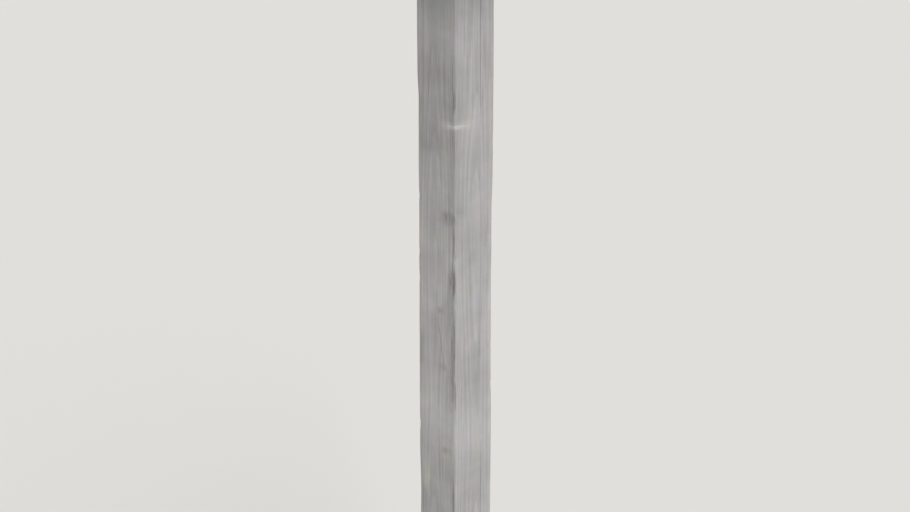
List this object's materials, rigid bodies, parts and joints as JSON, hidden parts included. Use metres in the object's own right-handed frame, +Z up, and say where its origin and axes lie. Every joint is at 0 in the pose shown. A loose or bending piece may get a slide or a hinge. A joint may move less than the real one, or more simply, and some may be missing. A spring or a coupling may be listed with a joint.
{
  "type": "fence post",
  "caption": "Square sawn softwood fence post, weathered silver-grey, with drying cracks and torn splinters along one long edge.",
  "frame": {"origin": "centre of the square foot, on the ground", "axes": "+Z up the post, -Y out of the front face, +X out of the right face; the worn long edge between those two faces is the one nearest the eye in the picture"},
  "size_m": [0.09, 0.09, 1.8],
  "materials": {
    "weathered_wood": "matte, silver-grey weathered grain"
  },
  "bodies": {
    "root": {"post": "weathered_wood"}
  },
  "joints": []
}
